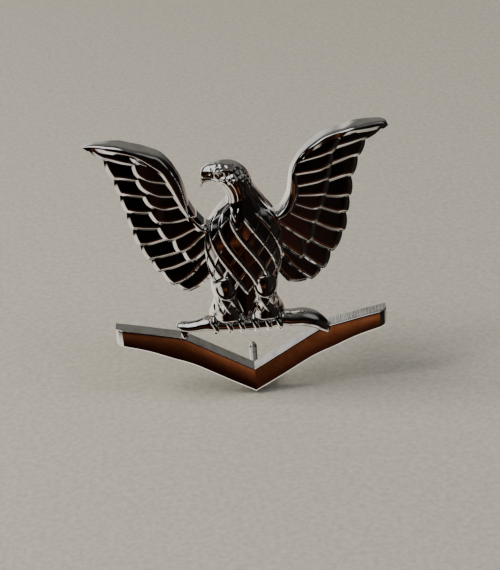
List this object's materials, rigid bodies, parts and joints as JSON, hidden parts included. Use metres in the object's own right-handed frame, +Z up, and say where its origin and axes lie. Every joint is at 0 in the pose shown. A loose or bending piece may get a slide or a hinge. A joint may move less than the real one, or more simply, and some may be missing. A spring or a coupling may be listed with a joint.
{
  "type": "eagle and chevron ornament",
  "caption": "Chromed spread-winged eagle on a perch rod over a V-shaped bar, with pin posts on its flat back and a spring clutch.",
  "frame": {"origin": "where the axis of the lower post meets the flat back, behind the point of the chevron", "axes": "+Z up, +X to the right as seen from the front, front faces -Y, posts along +Y"},
  "size_m": [0.039, 0.0138, 0.0384],
  "materials": {
    "chrome_plate": "mirror",
    "post_metal": "bright",
    "clutch_brass": "bright"
  },
  "bodies": {
    "emblem": {"chevron_bar": "chrome_plate", "perch_rod": "chrome_plate", "eagle_body": "chrome_plate", "left_wing": "chrome_plate", "right_wing": "chrome_plate", "lower_post": "post_metal", "upper_post": "post_metal"},
    "clutch_base": {"clutch_base": "clutch_brass"},
    "clutch_hub": {"clutch_hub": "clutch_brass"},
    "left_ear": {"left_ear": "clutch_brass"},
    "right_ear": {"right_ear": "clutch_brass"}
  },
  "joints": [
    {"name": "clutch_slide", "type": "slide", "parent": "emblem", "child": "clutch_base", "axis": [0, 1, 0], "range_m": [-0.00025, 0.0085]},
    {"name": "hub_spin", "type": "hinge", "parent": "clutch_base", "child": "clutch_hub", "pos_m": [0, 0.003, 0.019], "axis": [0, 1, 0], "continuous": true},
    {"name": "right_ear_squeeze", "type": "hinge", "parent": "clutch_hub", "child": "right_ear", "pos_m": [0.00235, 0.00323, 0.019], "axis": [0, 0, 1], "range_deg": [0, 14], "stiffness_Nm_per_rad": 0.02},
    {"name": "left_ear_squeeze", "type": "hinge", "parent": "clutch_hub", "child": "left_ear", "pos_m": [-0.00235, 0.00323, 0.019], "axis": [0, 0, -1], "range_deg": [0, 14], "stiffness_Nm_per_rad": 0.02}
  ]
}
